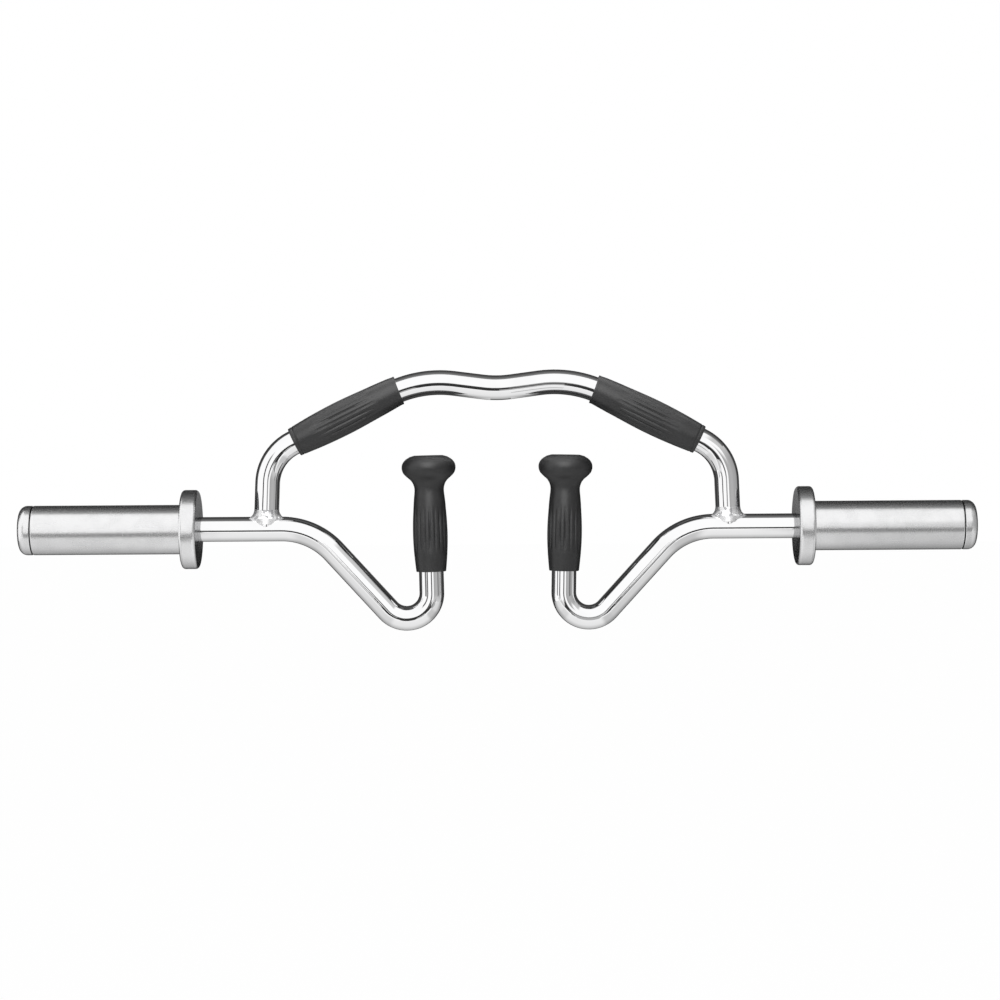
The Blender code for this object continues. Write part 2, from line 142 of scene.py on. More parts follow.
length = setting(FloatProperty, precision=4, subtype="DISTANCE", unit="LENGTH")
angle = setting(FloatProperty, subtype="ANGLE", unit="ROTATION")
share = setting(FloatProperty, min=0, max=1, subtype="FACTOR")
glow = setting(FloatProperty, min=0)
colour = setting(FloatVectorProperty, size=3, min=0, max=1, subtype="COLOR")
spot = setting(FloatVectorProperty, size=3, subtype="TRANSLATION", unit="LENGTH")
how_many = setting(IntProperty, min=3)


class BarSizes(bpy.types.PropertyGroup):
    """The three round bars that the frame is bent from."""

    bar_radius: length("Bar radius", "Radius of the round bar", BAR_HIGH.y)
    shaft_bend_x: length("Shaft bend", "Where the shaft turns down into the diagonal", 0.1868)
    shaft_bend_radius: length("Shaft bend radius", "Radius of that bend", 0.0715)
    diagonal_angle: angle("Diagonal", "Slope of the diagonal", math.radians(47.6))
    bottom_bend_radius: length("Bottom bend radius", "Radius of the tight bend below the hand", 0.0254)
    stem_x: length("Stem", "How far out the upright stem crosses the sleeves' axis", 0.06805)
    stem_lean: angle("Stem lean", "How far the stem leans outwards", math.radians(1.1))
    stem_top: length("Stem top", "Height of the stem's end inside its knob", 0.058)
    riser_foot_x: length("Riser foot", "Where the riser stands on the shaft", 0.234)
    riser_corner_x: length("Riser corner", "Where the riser turns into the sloped stretch", 0.231)
    riser_corner_z: length("Riser corner height", "Height of that corner", 0.0746)
    riser_bend_radius: length("Riser bend radius", "Radius of that bend", 0.047)
    grip_slope: angle("Grip slope", "Slope of the stretch under the curl grip", math.radians(26.3))
    hump_corner_x: length("Hump", "Where the bar turns over its hump", 0.0774)
    hump_radius: length("Hump radius", "Radius of the hump", 0.114)
    dip_corner_z: length("Dip height", "Height of the dip's corner in the middle", 0.1405)
    dip_radius: length("Dip radius", "Radius of the dip", 0.112)
    shoulder: length("Shoulder", "Where the shaft steps down, from the collar's inner face", 0.0085)
    journal_radius: length("Journal radius", "Radius of the turned-down end in the sleeve", 0.011)
    journal_end: length("Journal end", "Where the journal ends, from the collar's inner face", 0.1433)
    tapped_radius: length("Tapped hole radius", "Hole for the retaining bolt", 0.0053)
    tapped_depth: length("Tapped hole depth", "Depth of that hole", 0.026)


class GripSizes(bpy.types.PropertyGroup):
    """The rubber grips on the upright stems and on the curl bar."""

    bore_radius: length("Bore radius", "Radius of the hole that the bar fills", BAR_HIGH.y + GAP)
    edge_rounding: length("Edge rounding", "Rounding of a grip's ends", 0.0005)
    curl_start: length("Curl grip start", "From the end of the riser's bend to the curl grip", 0.0015)
    flutes: how_many("Flutes", "Grooves round each grip", 20)
    flute_depth: length("Flute depth", "Depth of a groove at the belly", 0.0010)
    stem_flute_low: length("Hand flutes foot", "Height where the hand grip's grooves start", -0.025)
    stem_flute_high: length("Hand flutes top", "Height where they run out", 0.021)
    curl_flute_start: length("Curl flutes start", "From the outer end to the curl grip's grooves", 0.022)
    curl_flute_end: length("Curl flutes end", "From the outer end to where they run out", 0.092)


class SleeveSizes(bpy.types.PropertyGroup):
    """The turning plate sleeve. Lengths run outwards from the collar's inner face."""

    face_x: length("Collar face", "Where the collar's inner face is", COLLAR_LOW.x)
    collar_thickness: length("Collar thickness", "Thickness of the flange", COLLAR_HIGH.x - COLLAR_LOW.x)
    collar_radius: length("Collar radius", "Radius of the flange", COLLAR_HIGH.z)
    collar_rounding: length("Collar rounding", "Rounding of the flange's rims", 0.0034)
    collar_web: length("Collar web", "Thickness of the flange behind the tube", 0.006)
    tube_radius: length("Sleeve radius", "Radius of the sleeve that takes the plates", TUBE_HIGH.z)
    tube_bore: length("Sleeve bore", "Radius of its bore", 0.020)
    tube_rounding: length("Tube rounding", "Rounding of the tube's ends", 0.0009)
    tube_start: length("Tube start", "Where the tube starts in the collar", TUBE_LOW.x - COLLAR_LOW.x)
    cap_seam: length("Cap seam", "Where the cap meets the tube", TUBE_HIGH.x + GAP - COLLAR_LOW.x)
    cap_end: length("Sleeve end", "Where the sleeve ends", CAP_HIGH.x - COLLAR_LOW.x)
    cap_rounding: length("Cap rounding", "Radius of the cap's round edge", 0.008)
    cap_dome: length("Cap dome", "How far the cap swells", 0.0008)
    groove_width: length("Groove width", "Width of the groove where the cap starts", 0.0007)
    groove_depth: length("Groove depth", "Depth of that groove", 0.0022)
    spigot_start: length("Spigot start", "Where the spigot ends in the tube", CAP_LOW.x - COLLAR_LOW.x)
    spigot_bore: length("Spigot bore", "Radius of the hollow in the spigot", 0.015)


class WeldSizes(bpy.types.PropertyGroup):
    """The fillet round each riser's foot."""

    top: length("Weld top", "How far up the riser it reaches", WELD_HIGH.z)
    low: length("Weld low", "Height where its toe starts on the shaft's side", 0.0050)
    reach: length("Weld reach", "Half its length along the shaft", (WELD_HIGH.x - WELD_LOW.x) / 2)
    foot_reach: length("Weld foot reach", "Half its length where its toe starts", 0.0129)
    face_radius: length("Weld depth", "Half its depth across the shaft", 0.0130)
    toe_radius: length("Weld toe", "Rounding where it meets the shaft", 0.0003)
    rough_from: length("Rough from", "Height where its ripples and lumps start", 0.0095)
    ripples: how_many("Ripples", "Ripples of the bead round the foot", 24)
    ripple_height: length("Ripple height", "Height of one ripple", 0.00005)
    lump_height: length("Lump height", "Unevenness of the bead", 0.0003)


class FinishSettings(bpy.types.PropertyGroup):
    """Colours of the finishes."""

    mirror: colour("Mirror chrome", "Polished chrome on the bars", (0.98, 0.98, 0.985))
    satin: colour("Satin chrome", "Brushed chrome on the sleeves", (0.92, 0.92, 0.925))
    turned: colour("Turned face", "Rough turned inner face of the collars", (0.20, 0.20, 0.205))
    # Painted shade: a near-black colour that darkens the groove beside the cap, where shade falls in the
    # recess
    grime: colour("Grime", "Oil and dirt in the groove beside the cap", (0.05, 0.05, 0.05))
    bead: colour("Weld chrome", "Chrome over the rough weld", (0.93, 0.93, 0.935))
    soot: colour("Weld pits", "Pits and stop marks in the weld", (0.32, 0.32, 0.33))
    rubber: colour("Rubber", "Black grip rubber", (0.016, 0.016, 0.0165))
    dust: colour("Dusty rubber", "Where the rubber is worn or dusty", (0.030, 0.030, 0.031))
    bronze: colour("Bronze", "Turned bearing bronze", (0.60, 0.42, 0.18))
    zinc: colour("Zinc", "Zinc plate on washers and bolts", (0.55, 0.55, 0.53))


class StudioSettings(bpy.types.PropertyGroup):
    """Camera, floor and light."""

    camera_x: length("Camera side", "How far right of the middle the camera aims", 0.0028)
    camera_z: length("Camera aim", "Height that the camera aims at", 0.0279)
    camera_distance: length("Camera distance", "From the camera to the bar", 2.613)
    camera_pitch: angle("Camera pitch", "How far the camera looks down", math.radians(1.625))
    camera_roll: angle("Camera roll", "How far the picture is turned", math.radians(0.368))
    picture_width: length("Picture width", "Width that the picture takes in at the bar", 1.0119)
    floor_z: length("Floor", "Height of the floor below the bar", -0.70)
    floor_glow: share("Floor white", "How far the floor goes to plain white in the picture", 0.99)
    room_light: share("Room light", "Strength of the even light in the room", 0.25)
    softbox_place: spot("Softbox", "Where the front softbox stands", (-0.20, -1.75, 1.30))
    softbox_width: length("Softbox width", "Width of the front softbox", 1.7)
    softbox_reach: length("Softbox height", "Height of the front softbox", 2.6)
    softbox_glow: glow("Softbox glow", "How bright it looks, 1 is white", 2.1)
    overhead_place: spot("Overhead", "Where the overhead softbox hangs", (0, 0.25, 1.15))
    overhead_width: length("Overhead width", "Width of the overhead softbox", 1.8)
    overhead_reach: length("Overhead depth", "Depth of the overhead softbox", 0.9)
    overhead_glow: glow("Overhead glow", "How bright it looks, 1 is white", 1.8)


class TricepsBarSettings(bpy.types.PropertyGroup):
    """All sizes and colours of the bar and its studio."""

    bars: PointerProperty(type=BarSizes)
    grips: PointerProperty(type=GripSizes)
    sleeves: PointerProperty(type=SleeveSizes)
    welds: PointerProperty(type=WeldSizes)
    finishes: PointerProperty(type=FinishSettings)
    studio: PointerProperty(type=StudioSettings)


# Bent lines that bars and grips follow
Run = namedtuple("Run", "begin length point travel centre axis turn")


class BentLine:
    """Straights in the X-Z plane, joined by arcs at their corners."""

    def __init__(self, corners, radii=()):
        self.runs = []
        self.length = 0
        point = corners[0]
        for before, corner, after, radius in zip(corners, corners[1:], corners[2:], radii):
            travel = (corner - before).normalized()
            onward = (after - corner).normalized()
            turn = travel.angle(onward)
            start = corner - travel * radius * math.tan(turn / 2)
            self.add_run(point, travel, (start - point).length)
            axis = travel.cross(onward).normalized()
            self.add_run(start, travel, radius * turn, start + axis.cross(travel) * radius, axis, turn)
            point = corner + onward * radius * math.tan(turn / 2)
        rest = corners[-1] - point
        self.add_run(point, rest.normalized(), rest.length)

    def add_run(self, point, travel, run_length, centre=None, axis=None, turn=0):
        self.runs.append(Run(self.length, run_length, point, travel, centre, axis, turn))
        self.length += run_length

    def at(self, distance):
        """Point and direction at a distance along the line."""
        run = [run for run in self.runs if run.begin <= max(distance, 0)][-1]
        past = distance - run.begin
        if run.centre is None:
            return run.point + run.travel * past, run.travel
        swing = Quaternion(run.axis, run.turn * past / run.length)
        return run.centre + swing @ (run.point - run.centre), swing @ run.travel


def stem_point(bars, height):
    return Vector((bars.stem_x + math.tan(bars.stem_lean) * height, 0, height))


def handle_line(bars, face_x):
    """From the stem's top, down, round the tight bend, up the diagonal and out to the shoulder."""
    down = Vector((-math.cos(bars.diagonal_angle), 0, -math.sin(bars.diagonal_angle)))
    shaft_corner = Vector((bars.shaft_bend_x, 0, 0))
    reach = (bars.stem_x - bars.shaft_bend_x) / (down.x - math.tan(bars.stem_lean) * down.z)
    corners = [
        stem_point(bars, bars.stem_top),
        shaft_corner + down * reach,
        shaft_corner,
        Vector((face_x + bars.shoulder, 0, 0)),
    ]
    return BentLine(corners, [bars.bottom_bend_radius, bars.shaft_bend_radius])


def cambered_line(bars):
    """From the right riser's foot over both humps to the left one's."""
    rise = math.tan(bars.grip_slope) * (bars.riser_corner_x - bars.hump_corner_x)
    right = [
        Vector((bars.riser_foot_x, 0, 0)),
        Vector((bars.riser_corner_x, 0, bars.riser_corner_z)),
        Vector((bars.hump_corner_x, 0, bars.riser_corner_z + rise)),
    ]
    left = [Vector((-corner.x, 0, corner.z)) for corner in reversed(right)]
    rising = [bars.riser_bend_radius, bars.hump_radius]
    radii = rising + [bars.dip_radius] + rising[::-1]
    return BentLine(right + [Vector((0, 0, bars.dip_corner_z))] + left, radii)


def shares(count):
    """Even fractions from 0 to 1."""
    return [step / count for step in range(count + 1)]


def quarter_turn(count):
    """Sine and cosine at even steps over a quarter turn."""
    turns = [math.pi / 2 * part for part in shares(count)]
    return [(math.sin(turn), math.cos(turn)) for turn in turns]


def smooth_outline(table, step):
    """(place, radius) pairs about a step apart on a smooth curve through a table of them."""
    slopes = []
    for number in range(len(table)):
        before, after = table[max(number - 1, 0)], table[min(number + 1, len(table) - 1)]
        slopes.append((after[1] - before[1]) / (after[0] - before[0]))
    points = [table[0]]
    for (here, low), (there, high), start, end in zip(table, table[1:], slopes, slopes[1:]):
        reach = there - here
        for part in shares(max(1, round(reach / step)))[1:]:
            rise = part * part * (3 - 2 * part)
            lean = start * part * (1 - part) ** 2 - end * part * part * (1 - part)
            points.append((here + reach * part, low + (high - low) * rise + reach * lean))
    return points


def rounded(corners):
    """A closed outline from (along, radius, rounding) corners, with support points beside each rounding."""
    outline = []
    for number, (along, radius, rounding) in enumerate(corners):
        here = Vector((along, radius))
        if not rounding:
            outline.append((along, radius))
            continue
        back = (Vector(corners[number - 1][:2]) - here).normalized()
        onward = (Vector(corners[(number + 1) % len(corners)][:2]) - here).normalized()
        half = back.angle(onward) / 2
        reach = rounding / math.tan(half)
        centre = here + (back + onward).normalized() * rounding / math.sin(half)
        first = (here + back * reach - centre).normalized()
        last = (here + onward * reach - centre).normalized()
        outline.append(tuple(here + back * (reach + SUPPORT_GAP)))
        outline += [tuple(centre + first.slerp(last, part) * rounding) for part in shares(CORNER_STEPS)]
        outline.append(tuple(here + onward * (reach + SUPPORT_GAP)))
    return outline


# Modelling steps, each on the piece that is open in edit mode
def select_only(piece):
    bpy.ops.object.select_all(action="DESELECT")
    piece.select_set(True)
    bpy.context.view_layer.objects.active = piece


def apply_place():
    bpy.ops.object.transform_apply(location=True, rotation=True, scale=True)


def start_piece(name, sides, radius, place, facing, fill):
    """The disc or ring that a round piece is drawn out from."""
    bpy.ops.object.select_all(action="DESELECT")
    bpy.ops.mesh.primitive_circle_add(
        vertices=sides, radius=radius, fill_type=fill, location=place,
        rotation=facing.to_track_quat("Z", "Y").to_euler(),
    )
    piece = bpy.context.object
    piece.name = piece.data.name = name
    apply_place()
    bpy.ops.object.mode_set(mode="EDIT")
    return piece


def extrude(way):
    bpy.ops.mesh.extrude_region_move(TRANSFORM_OT_translate={"value": way})


def face_outwards():
    bpy.ops.mesh.select_all(action="SELECT")
    bpy.ops.mesh.remove_doubles(threshold=MERGE_DISTANCE)
    bpy.ops.mesh.normals_make_consistent(inside=False)


def end_piece():
    """Close and shade the piece that is open."""
    face_outwards()
    bpy.ops.object.mode_set(mode="OBJECT")
    bpy.ops.object.shade_smooth_by_angle(angle=SHARP_ANGLE)


def draw_bar(name, line, radius):
    """A round bar: a disc extruded along each straight and spun round each bend."""
    piece = start_piece(name, BAR_SIDES, radius, line.runs[0].point, line.runs[0].travel, "NGON")
    for run in line.runs:
        if run.centre is None:
            extrude(run.travel * run.length)
        else:
            # The spin operator turns left-handed about its axis
            bpy.ops.mesh.spin(
                steps=math.ceil(run.turn / BEND_STEP), angle=-run.turn, center=run.centre, axis=run.axis,
            )
    return piece


def draw_along(name, line, outline, sides, closed=True):
    """Rings of (distance, radius) along a line, each extruded from the last. Open outlines end in faces."""
    distance, radius = outline[0]
    point, travel = line.at(distance)
    piece = start_piece(name, sides, radius, point, travel, "NOTHING" if closed else "NGON")
    for distance, wider in outline[1:] + (outline[:1] if closed else []):
        onward_point, onward = line.at(distance)
        extrude(onward_point - point)
        turn = math.atan2(travel.cross(onward).y, travel.dot(onward))
        if abs(turn) > SMALLEST_TURN:
            # With no window the rotate operator turns the other way
            bpy.ops.transform.rotate(value=-turn, orient_axis="Y", center_override=onward_point)
        grow = wider / radius
        bpy.ops.transform.resize(value=(grow, grow, grow), center_override=onward_point)
        point, travel, radius = onward_point, onward, wider
    return piece


def select_points(wanted):
    """Selects the open piece's points for which wanted(place) is true."""
    bpy.ops.mesh.select_all(action="DESELECT")
    mesh = bpy.context.object.data
    shape = bmesh.from_edit_mesh(mesh)
    for point in shape.verts:
        point.select = wanted(point.co)
    shape.select_flush_mode()
    bmesh.update_edit_mesh(mesh)


def press_flutes(grips, start, travel, first, last):
    """Narrow grooves along a grip, deepest in the middle, that run out over the third at each end."""
    columns = grips.flutes * COLUMNS_PER_FLUTE
    sideways = Vector((0, 1, 0)).cross(travel)
    bore = grips.bore_radius + 2 * GAP
    taper = (last - first) / 3
    most = FLUTE_PRESSES[0]

    def in_groove(place, level):
        arm = place - start
        out, side = arm.y, arm.dot(sideways)
        column = round(math.atan2(side, out) / math.tau * columns) % COLUMNS_PER_FLUTE
        off_middle = min(column, COLUMNS_PER_FLUTE - column)
        if off_middle >= len(FLUTE_PRESSES) or level >= FLUTE_PRESSES[off_middle]:
            return False
        if math.hypot(out, side) < bore:
            return False
        trim = taper * level / most
        return first + trim <= arm.dot(travel) <= last - trim

    for level in range(most):
        select_points(lambda place: in_groove(place, level))
        bpy.ops.transform.shrink_fatten(value=-grips.flute_depth / most)


def left_copy(piece):
    """The left side's piece, which is the right one turned half round about Z."""
    select_only(piece)
    bpy.ops.object.duplicate()
    copy = bpy.context.object
    copy.name = copy.data.name = piece.name.replace("right_", "left_")
    bpy.ops.transform.rotate(value=math.pi, orient_axis="Z", center_override=(0, 0, 0))
    apply_place()
    return copy


def dress(piece, look, body, node):
    """Give a piece its finish, attach it to the body that it rides on and hide the CAD node that it stands
    for.
    """
    piece.data.materials.clear()
    piece.data.materials.append(finish(look))
    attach(piece, body)
    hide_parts(node)


# The bodies that the pieces of a pair ride on
FRAME_BODIES = {"left": "frame", "right": "frame"}
SLEEVE_BODIES = {"left": "left_sleeve", "right": "right_sleeve"}


def dress_pair(piece, look, bodies, node):
    """Dress a right-hand piece, and make and dress its left-hand copy."""
    for side, made in (("right", piece), ("left", left_copy(piece))):
        dress(made, look, bodies[side], f"{side}_{node}")


# Shader maths
class Shade:
    """A shader socket that Python arithmetic works on. Each operation adds its Math node."""

    def __init__(self, sheet, socket):
        self.sheet = sheet
        self.socket = socket

    def math(self, operation, *values):
        return self.sheet.add("Math", {"operation": operation}, dict(enumerate((self, *values))))

    def __add__(self, other):
        return self.math("ADD", other)

    __radd__ = __add__

    def __mul__(self, other):
        return self.math("MULTIPLY", other)

    __rmul__ = __mul__

    def __sub__(self, other):
        return self.math("SUBTRACT", other)

    def __rsub__(self, other):
        return self.sheet.add("Math", {"operation": "SUBTRACT"}, {0: other, 1: self})

    def __abs__(self):
        return self.math("ABSOLUTE")

    def __pow__(self, power):
        return self.math("POWER", power)

    def most(self, other):
        return self.math("MAXIMUM", other)

    def ramp(self, low, high):
        """0 below low, 1 above high and smooth between them. low may be above high."""
        places = {"Value": self, "From Min": low, "From Max": high}
        return self.sheet.add("MapRange", {"interpolation_type": "SMOOTHSTEP"}, places)


class NodeSheet:
    """The nodes of one material or world."""

    def __init__(self, tree):
        self.tree = tree
        tree.nodes.clear()

    def add(self, kind, settings=(), inputs=(), output=0):
        """Adds a node: its settings first, then the value or link of each socket."""
        node = self.tree.nodes.new("ShaderNode" + kind)
        for name, value in dict(settings).items():
            setattr(node, name, value)
        for name, value in dict(inputs).items():
            if isinstance(value, Shade):
                self.tree.links.new(value.socket, node.inputs[name])
            else:
                node.inputs[name].default_value = value
        # Output nodes have no socket to go on from
        return Shade(self, node.outputs[output]) if node.outputs else None

    def place(self):
        return self.add("TexCoord", output="Object")

    def parts(self, vector):
        return [self.add("SeparateXYZ", inputs={0: vector}, output=axis) for axis in "XYZ"]

    def noise(self, vector, scale, detail=2.0, stretch=(1, 1, 1)):
        stretched = self.add("VectorMath", {"operation": "MULTIPLY"}, {0: vector, 1: stretch})
        return self.add("TexNoise", inputs={"Vector": stretched, "Scale": scale, "Detail": detail})

    def mix(self, mask, plain, other):
        """Colours mixed by a mask. Sockets 6 and 7 and output 2 are the ones for colours."""
        return self.add("Mix", {"data_type": "RGBA"}, {0: mask, 6: opaque(plain), 7: opaque(other)}, 2)

    def bump(self, height, distance):
        return self.add("Bump", inputs={"Strength": 1.0, "Distance": distance, "Height": height})

    def seen(self):
        """1 for what the camera sees straight, in metal or through glass."""
        seen = self.add("LightPath", output="Is Camera Ray")
        for kind in ("Glossy", "Transmission"):
            seen = seen.most(self.add("LightPath", output=f"Is {kind} Ray"))
        return seen

    def surface(self, **inputs):
        """Ends a material in a Principled shader."""
        sockets = [name.replace("_", " ").title().replace("Ior", "IOR") for name in inputs]
        shader = self.add("BsdfPrincipled", inputs=dict(zip(sockets, inputs.values())))
        self.add("OutputMaterial", inputs={"Surface": shader})


def opaque(value):
    return value if isinstance(value, Shade) else (*value, 1)


def shaded(colour_of, part):
    """A colour made darker or lighter."""
    return [channel * part for channel in colour_of]


def new_material(name):
    """An empty material and its node sheet."""
    made = bpy.data.materials.new(name)
    made.use_nodes = True
    return made, NodeSheet(made.node_tree)


def finish(name):
    """The finish of that name, built the first time it is asked for."""
    made = bpy.data.materials.get(name)
    if made is None:
        made, sheet = new_material(name)
        FINISHES[name](sheet, bpy.context.scene.triceps_bar.finishes)
    return made


def build_mirror_chrome(sheet, colours):
    """Bright plate over polished bar, with faint hand marks and a slight waviness."""
    place = sheet.place()
    marks = sheet.noise(place, 38, 5).ramp(0.50, 0.78)
    waves = sheet.noise(place, 110, 1) * 0.9 + sheet.noise(place, 420, 1) * 0.1
    sheet.surface(
        base_color=sheet.mix(marks, colours.mirror, shaded(colours.mirror, 0.96)),
        metallic=1.0,
        roughness=marks * 0.05 + 0.02,
        normal=sheet.bump(waves, 0.000028),
    )


def build_satin_chrome(sheet, colours):
    """Plate brushed round the sleeve, cloudy, with a rough turned face towards the middle of the bar and
    painted shade in the groove beside the cap.
    """
    sleeves = bpy.context.scene.triceps_bar.sleeves
    place = sheet.place()
    along, across, up = sheet.parts(place)
    along = abs(along)
    radius = (across * across + up * up) ** 0.5
    clouds = sheet.noise(place, 70, 4)
    brush = sheet.noise(place, 26, 3, (60, 1, 1))
    grain = sheet.noise(place, 850, 2)
    scuffs = sheet.noise(place, 420, 3, (0.05, 1, 1)).ramp(0.52, 0.72)
    # Turned only within half a millimetre of the collar's inner face
    face = (along - sleeves.face_x).ramp(0.0006, 0.0002)
    face = face * radius.ramp(sleeves.collar_radius, sleeves.collar_radius - 0.002)
    seam = sleeves.face_x + sleeves.cap_seam
    # The groove beside the cap is painted near black: painted shade in the recess
    in_groove = along.ramp(seam - 0.0008, seam - 0.0004) * along.ramp(seam + 0.0010, seam + 0.0007)
    in_groove = in_groove * radius.ramp(sleeves.tube_radius - 0.0004, sleeves.tube_radius - 0.0010)
    rings = sheet.add("CombineXYZ", inputs={"X": radius * 60, "Y": across * 2, "Z": up * 2})
    turning = sheet.noise(rings, 30, 3)
    plate = sheet.mix(clouds.ramp(0.35, 0.70), colours.satin, shaded(colours.satin, 0.94))
    steel = sheet.mix(turning.ramp(0.45, 0.62), colours.turned, shaded(colours.turned, 2.2))
    brushed = clouds * 0.5 + brush * 0.06 + grain * 0.12 + scuffs * 0.02
    relief = brushed * (1 - face) + turning * face * 3
    sheet.surface(
        base_color=sheet.mix(in_groove, sheet.mix(face, plate, steel), colours.grime),
        metallic=1.0,
        roughness=clouds * 0.08 + brush * 0.04 + grain * 0.04 + scuffs * 0.03 + 0.18,
        normal=sheet.bump(relief, 0.00005),
    )


def build_weld_chrome(sheet, colours):
    """Plate over the rough bead, pitted, with the marks of stops round its upper edge."""
    place = sheet.place()
    up = sheet.parts(place)[2]
    lumps = sheet.noise(place, 330, 3)
    pits = sheet.noise(place, 620, 2).ramp(0.66, 0.74)
    stops = sheet.noise(place, 240, 2).ramp(0.52, 0.58) * up.ramp(0.009, 0.012)
    marks = (pits * up.ramp(0.006, 0.010)).most(stops * 0.8)
    sheet.surface(
        base_color=sheet.mix(marks, colours.bead, colours.soot),
        metallic=1.0,
        roughness=marks * 0.2 + lumps * 0.06 + 0.38,
        normal=sheet.bump((lumps - marks * 0.5) * up.ramp(0.007, 0.011), 0.00008),
    )


def build_grip_rubber(sheet, colours):
    """Moulded rubber with a soft sheen, a fine grain and a little dust."""
    place = sheet.place()
    clouds = sheet.noise(place, 55, 5).ramp(0.40, 0.80)
    specks = sheet.noise(place, 520, 2).ramp(0.40, 0.70)
    dust = clouds * 0.6 + specks * 0.4
    grain = sheet.noise(place, 1500, 3)
    sheet.surface(
        base_color=sheet.mix(dust, colours.rubber, colours.dust),
        specular_ior_level=0.62,
        roughness=dust * 0.10 + grain * 0.06 + 0.36,
        normal=sheet.bump(grain, 0.00004),
    )


def build_bearing_bronze(sheet, colours):
    place = sheet.place()
    tarnish = sheet.noise(place, 150, 4).ramp(0.4, 0.8)
    turning = sheet.noise(place, 40, 2, (80, 1, 1))
    sheet.surface(
        base_color=sheet.mix(tarnish, colours.bronze, shaded(colours.bronze, 0.6)),
        metallic=1.0,
        roughness=tarnish * 0.15 + 0.28,
        normal=sheet.bump(turning, 0.00002),
    )


def build_zinc_plate(sheet, colours):
    place = sheet.place()
    spangle = sheet.noise(place, 500, 3)
    sheet.surface(
        base_color=sheet.mix(spangle.ramp(0.4, 0.7), colours.zinc, shaded(colours.zinc, 0.8)),
        metallic=1.0,
        roughness=spangle * 0.2 + 0.25,
        normal=sheet.bump(spangle, 0.00001),
    )


FINISHES = {
    "Mirror chrome": build_mirror_chrome,
    "Satin chrome": build_satin_chrome,
    "Weld chrome": build_weld_chrome,
    "Grip rubber": build_grip_rubber,
    "Bearing bronze": build_bearing_bronze,
    "Zinc plate": build_zinc_plate,
}


class TRICEPS_OT_cambered_bar(bpy.types.Operator):
    """Bend the bar that runs over the top and cope its feet"""

    bl_idname = "triceps_bar.cambered_bar"
    bl_label = "Cambered Bar"

    def execute(self, context):
        bars = context.scene.triceps_bar.bars
        piece = draw_bar("chromed_cambered_bar", cambered_line(bars), bars.bar_radius)
        end_piece()
        past_both_feet = 2.4 * bars.riser_foot_x
        cut_with_rod(piece, Vector(), Vector((1, 0, 0)), past_both_feet, bars.bar_radius + GAP)
        dress(piece, "Mirror chrome", "frame", "cambered_bar")
        return {"FINISHED"}


def cut_with_rod(piece, middle, facing, rod_length, radius):
    """Takes a round rod's shape out of a piece."""
    bpy.ops.object.select_all(action="DESELECT")
    bpy.ops.mesh.primitive_cylinder_add(
        vertices=BAR_SIDES, radius=radius, depth=rod_length, location=middle,
        rotation=facing.to_track_quat("Z", "Y").to_euler(),
    )
    rod = bpy.context.object
    select_only(piece)
    cut = piece.modifiers.new("Cope", "BOOLEAN")
    cut.operation = "DIFFERENCE"
    cut.solver = "EXACT"
    cut.object = rod
    bpy.ops.object.modifier_apply(modifier=cut.name)
    bpy.data.objects.remove(rod)
    bpy.ops.object.shade_smooth_by_angle(angle=SHARP_ANGLE)


class TRICEPS_OT_handle_bars(bpy.types.Operator):
    """Bend both handle bars and turn down the journals at their outer ends"""

    bl_idname = "triceps_bar.handle_bars"
    bl_label = "Handle Bars"

    def execute(self, context):
        settings = context.scene.triceps_bar
        bars = settings.bars
        line = handle_line(bars, settings.sleeves.face_x)
        piece = draw_bar("right_chromed_handle_bar", line, bars.bar_radius)
        bpy.ops.mesh.inset(thickness=bars.bar_radius - bars.journal_radius)
        extrude((bars.journal_end - bars.shoulder, 0, 0))
        bpy.ops.mesh.inset(thickness=bars.journal_radius - bars.tapped_radius)
        extrude((-bars.tapped_depth, 0, 0))
        end_piece()
        dress_pair(piece, "Mirror chrome", FRAME_BODIES, "handle_bar")
        return {"FINISHED"}


